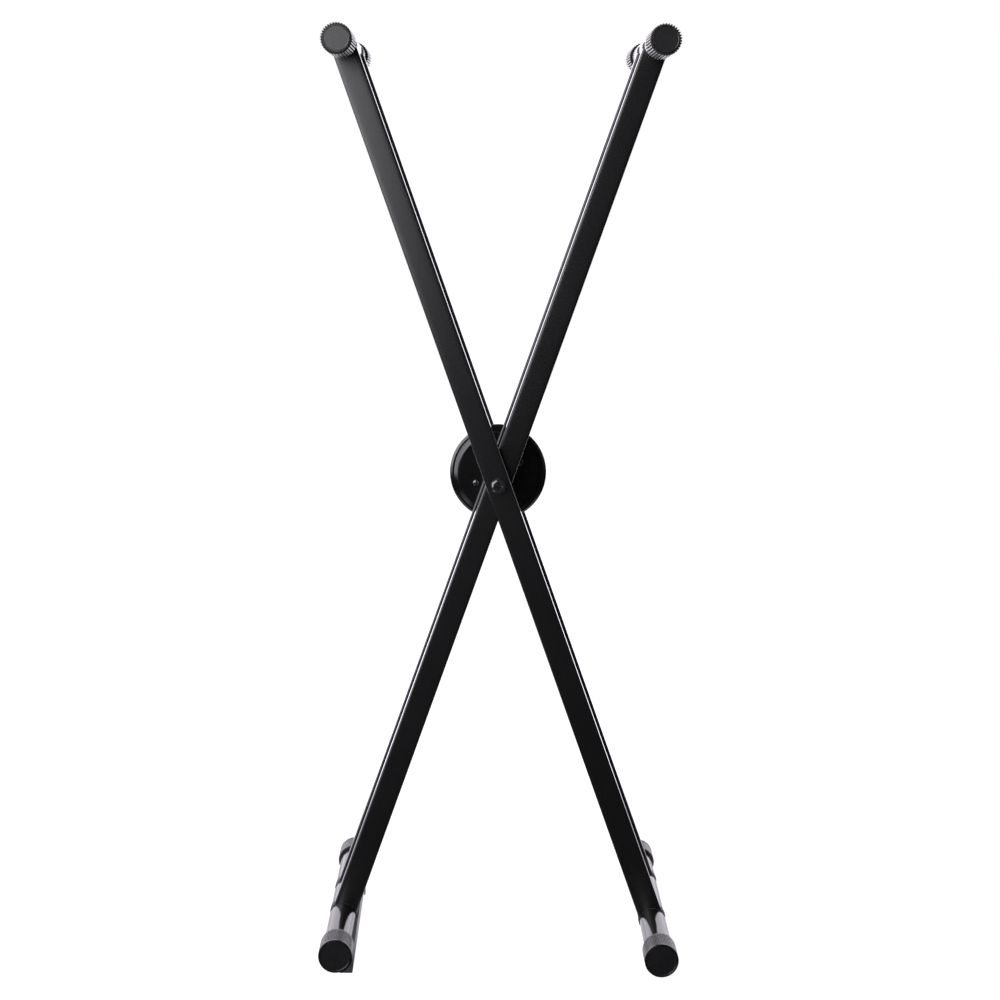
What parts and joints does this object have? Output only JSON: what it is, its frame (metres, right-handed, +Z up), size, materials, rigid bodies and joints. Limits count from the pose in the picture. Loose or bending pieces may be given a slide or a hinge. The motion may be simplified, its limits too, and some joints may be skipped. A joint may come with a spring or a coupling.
{
  "type": "keyboard stand",
  "caption": "Black folding X-frame keyboard stand with double-braced legs, round arms with fluted rubber grips, round feet with ribbed caps and a clamped friction clutch at the pivot.",
  "frame": {"origin": "on the floor, midway between the feet from side to side and midway from front to back", "axes": "+Z up, +X to the right and +Y to the back, seen from the end where the bolt head shows"},
  "size_m": [0.376, 0.4544, 0.9821],
  "materials": {
    "leg_paint": "satin black powder coat",
    "bar_paint": "gloss black powder coat",
    "grip_rubber": "matte moulded",
    "cap_rubber": "matte moulded",
    "sole_rubber": "matte moulded",
    "cover_plastic": "satin moulded",
    "black_steel": "black zinc plated",
    "plain_steel": "zinc plated",
    "slip_nylon": "natural nylon",
    "friction_lining": "pressed friction material",
    "knob_plastic": "fine-grained moulded",
    "nut_brass": "machined"
  },
  "bodies": {
    "leg_a": {"leg_a_front_tube": "leg_paint", "leg_a_rear_tube": "leg_paint", "leg_a_arm_tube": "bar_paint", "leg_a_foot_tube": "bar_paint", "leg_a_arm_front_grip": "grip_rubber", "leg_a_arm_rear_grip": "grip_rubber", "leg_a_foot_front_cap": "cap_rubber", "leg_a_foot_rear_cap": "cap_rubber", "leg_a_front_sleeve": "plain_steel", "leg_a_rear_sleeve": "plain_steel", "pivot_bolt": "black_steel", "slip_washer": "slip_nylon", "clutch_plate": "black_steel", "thrust_washer": "plain_steel", "spring_washer": "plain_steel"},
    "leg_b": {"leg_b_front_tube": "leg_paint", "leg_b_rear_tube": "leg_paint", "leg_b_arm_tube": "bar_paint", "leg_b_foot_tube": "bar_paint", "leg_b_arm_front_grip": "grip_rubber", "leg_b_arm_rear_grip": "grip_rubber", "leg_b_foot_front_cap": "cap_rubber", "leg_b_foot_rear_cap": "cap_rubber", "leg_b_front_sleeve": "plain_steel", "leg_b_rear_sleeve": "plain_steel", "pivot_spacer": "plain_steel", "clutch_cover": "cover_plastic", "clutch_backing": "plain_steel", "clutch_lining": "friction_lining", "clutch_screws": "black_steel", "foot_sole_strip": "sole_rubber", "sole_screw": "plain_steel"},
    "clamp_knob": {"knob_body": "knob_plastic", "knob_nut": "nut_brass", "knob_cap": "knob_plastic"}
  },
  "joints": [
    {"name": "fold", "type": "hinge", "parent": "leg_a", "child": "leg_b", "pos_m": [0, 0, 0.49744], "axis": [0, 1, 0], "range_deg": [-34.5, 70]},
    {"name": "knob_turn", "type": "hinge", "parent": "leg_a", "child": "clamp_knob", "pos_m": [0, 0.08575, 0.49744], "axis": [0, 1, 0], "range_deg": [0, 360]}
  ]
}
